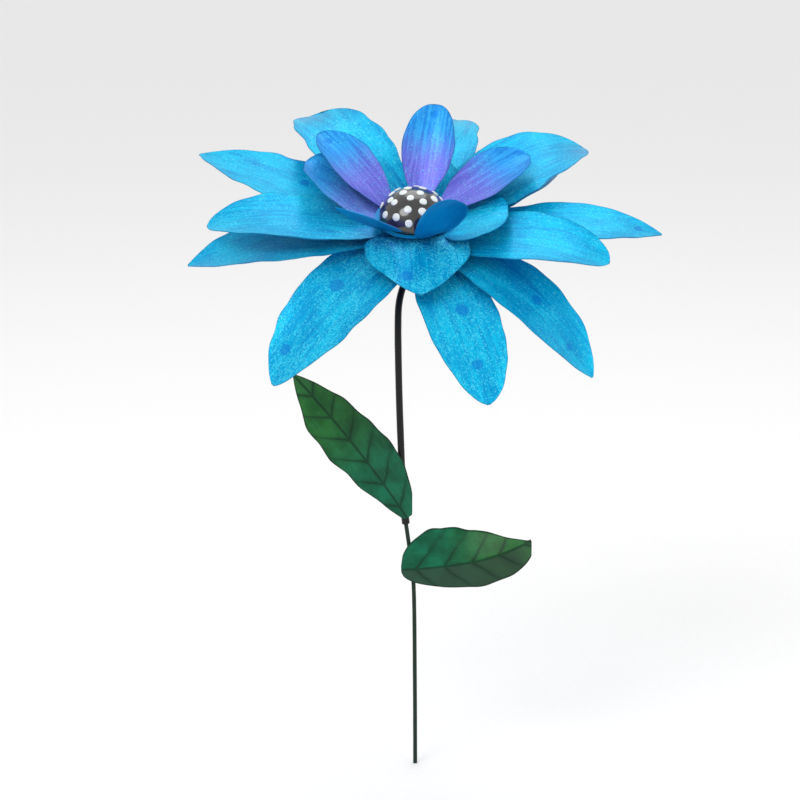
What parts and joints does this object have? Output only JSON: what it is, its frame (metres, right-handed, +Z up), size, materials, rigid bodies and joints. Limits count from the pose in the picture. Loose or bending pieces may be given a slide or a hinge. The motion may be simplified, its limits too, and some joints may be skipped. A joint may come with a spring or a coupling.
{
  "type": "wind spinner",
  "caption": "Painted sheet-metal flower that turns freely on a pin at the top of a thin bent garden stake with two leaves.",
  "frame": {"origin": "centre of the stake's cut foot", "axes": "+Z up the stake, -Y towards the side that the flower faces"},
  "size_m": [0.2404, 0.1711, 0.3501],
  "materials": {
    "petal_blue": "hand-brushed gloss paint with fine glitter",
    "petal_lilac": "hand-brushed gloss paint, lilac at the root",
    "leaf_green": "satin paint with dark painted veins",
    "stem_black": "gloss paint",
    "stake_green": "satin paint",
    "dome_black": "gloss paint with raised white dots",
    "zinc_plate": "bright zinc plate",
    "brass": "turned"
  },
  "bodies": {
    "stake": {"ground_stake": "stake_green", "upper_stem": "stem_black", "upper_leaf": "leaf_green", "lower_leaf": "leaf_green", "upper_leaf_collar": "stem_black", "lower_leaf_collar": "stem_black", "pivot_pin": "zinc_plate", "lower_thrust_washer": "zinc_plate", "upper_thrust_washer": "zinc_plate", "pin_cap": "zinc_plate"},
    "flower": {"hub_bush": "brass", "backing_plate": "zinc_plate", "petal_layer_lower": "petal_blue", "petal_layer_upper": "petal_blue", "petal_layer_middle": "petal_blue", "petal_layer_inner": "petal_lilac", "spacer_ring_1": "zinc_plate", "spacer_ring_2": "zinc_plate", "spacer_ring_3": "zinc_plate", "hub_nut": "zinc_plate", "dome_cap": "dome_black"}
  },
  "joints": [
    {"name": "flower_spin", "type": "hinge", "parent": "stake", "child": "flower", "pos_m": [-0.001, 0, 0.289], "axis": [0, -0.3907, 0.9205], "continuous": true}
  ]
}
